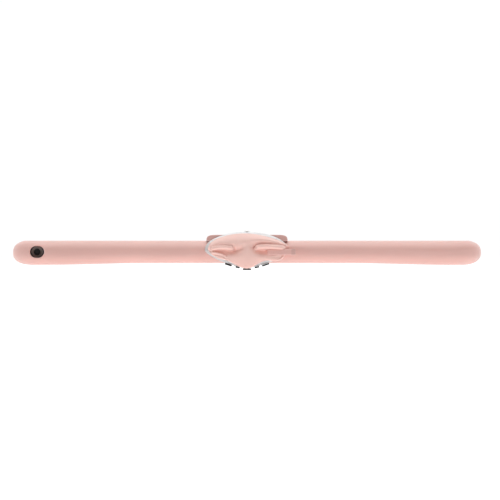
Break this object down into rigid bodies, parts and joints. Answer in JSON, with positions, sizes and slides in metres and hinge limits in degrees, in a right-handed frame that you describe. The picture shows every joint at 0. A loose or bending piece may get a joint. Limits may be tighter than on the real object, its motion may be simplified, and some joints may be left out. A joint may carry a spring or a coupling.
{
  "type": "tablet computer",
  "caption": "Landscape tablet computer in a soft one-piece case, with a headphone socket and a removable ribbon-bow clip on its long edge.",
  "frame": {"origin": "middle of the whole object's box in plan, at the height of its lowest point, the middle foot of the bow clip", "axes": "+X along the long side, +Y away from the edge with the headphone socket and the clip, +Z out of the screen"},
  "size_m": [0.254, 0.1864, 0.0214],
  "materials": {
    "soft_pink": "satin moulded silicone",
    "ribbon_pink": "satin moulded soft rubber",
    "milky_clip": "milky, slightly translucent",
    "foot_rubber": "matt",
    "graphite": "dark anodised, bead blasted",
    "cover_glass": "polished, black behind",
    "black_plastic": "satin moulded",
    "screen_black": "dark panel, switched off",
    "diffuser": "white film stack",
    "plate_metal": "stamped",
    "battery_foil": "laminated pouch",
    "circuit_green": "solder mask",
    "bright_steel": "plated",
    "mesh_black": "woven mesh, blackened",
    "flash_lens": "clear over yellow phosphor",
    "flex_amber": "polyimide film"
  },
  "bodies": {
    "tablet": {"case_shell": "soft_pink", "rear_housing": "graphite", "bezel_frame": "black_plastic", "front_glass": "cover_glass", "lcd_panel": "screen_black", "backlight_unit": "diffuser", "mid_plate": "plate_metal", "battery_left": "battery_foil", "battery_right": "battery_foil", "logic_board": "circuit_green", "processor_shield": "bright_steel", "power_shield": "bright_steel", "board_screw_1": "bright_steel", "board_screw_2": "bright_steel", "board_screw_3": "bright_steel", "board_screw_4": "bright_steel", "usb_board": "circuit_green", "usb_c_port": "bright_steel", "headphone_jack": "black_plastic", "card_reader": "bright_steel", "speaker_left": "black_plastic", "speaker_right": "black_plastic", "speaker_mesh_left": "mesh_black", "speaker_mesh_right": "mesh_black", "microphone": "bright_steel", "vibration_motor": "bright_steel", "rear_camera": "black_plastic", "camera_ring": "bright_steel", "camera_glass": "cover_glass", "flash_led": "flash_lens", "front_camera": "black_plastic", "display_flex": "flex_amber", "usb_flex": "flex_amber", "key_flex": "flex_amber", "power_switch": "bright_steel", "volume_switch_down": "bright_steel", "volume_switch_up": "bright_steel"},
    "power_button": {"power_key": "black_plastic", "power_pad": "soft_pink"},
    "volume_button": {"volume_rocker": "black_plastic", "volume_pad": "soft_pink"},
    "tray": {"card_tray": "graphite", "memory_card": "black_plastic"},
    "bow_clip": {"clip_spring": "milky_clip", "clip_rivet": "bright_steel", "clip_foot_1": "foot_rubber", "clip_foot_2": "foot_rubber", "clip_foot_3": "foot_rubber", "clip_foot_4": "foot_rubber", "clip_foot_5": "foot_rubber", "bow_back_strip": "ribbon_pink", "bow_loop_left": "ribbon_pink", "bow_loop_right": "ribbon_pink", "bow_knot": "ribbon_pink", "bow_centre_fold": "ribbon_pink", "bow_tail_left": "ribbon_pink", "bow_tail_right": "ribbon_pink", "bow_fold_right": "ribbon_pink"}
  },
  "joints": [
    {"name": "power_press", "type": "slide", "parent": "tablet", "child": "power_button", "axis": [-1, 0, 0], "range_m": [0, 0.0005], "stiffness_N_per_m": 800, "springref_m": -0.0005},
    {"name": "volume_rock", "type": "hinge", "parent": "tablet", "child": "volume_button", "pos_m": [0.12, -0.01375, 0.0098], "axis": [0, 0, 1], "range_deg": [-1.8, 1.8], "stiffness_Nm_per_rad": 0.5},
    {"name": "tray_slide", "type": "slide", "parent": "tablet", "child": "tray", "axis": [-1, 0, 0], "range_m": [0, 0.016]},
    {"name": "clip_pull", "type": "slide", "parent": "tablet", "child": "bow_clip", "axis": [0, -1, 0], "range_m": [0, 0.025]}
  ]
}
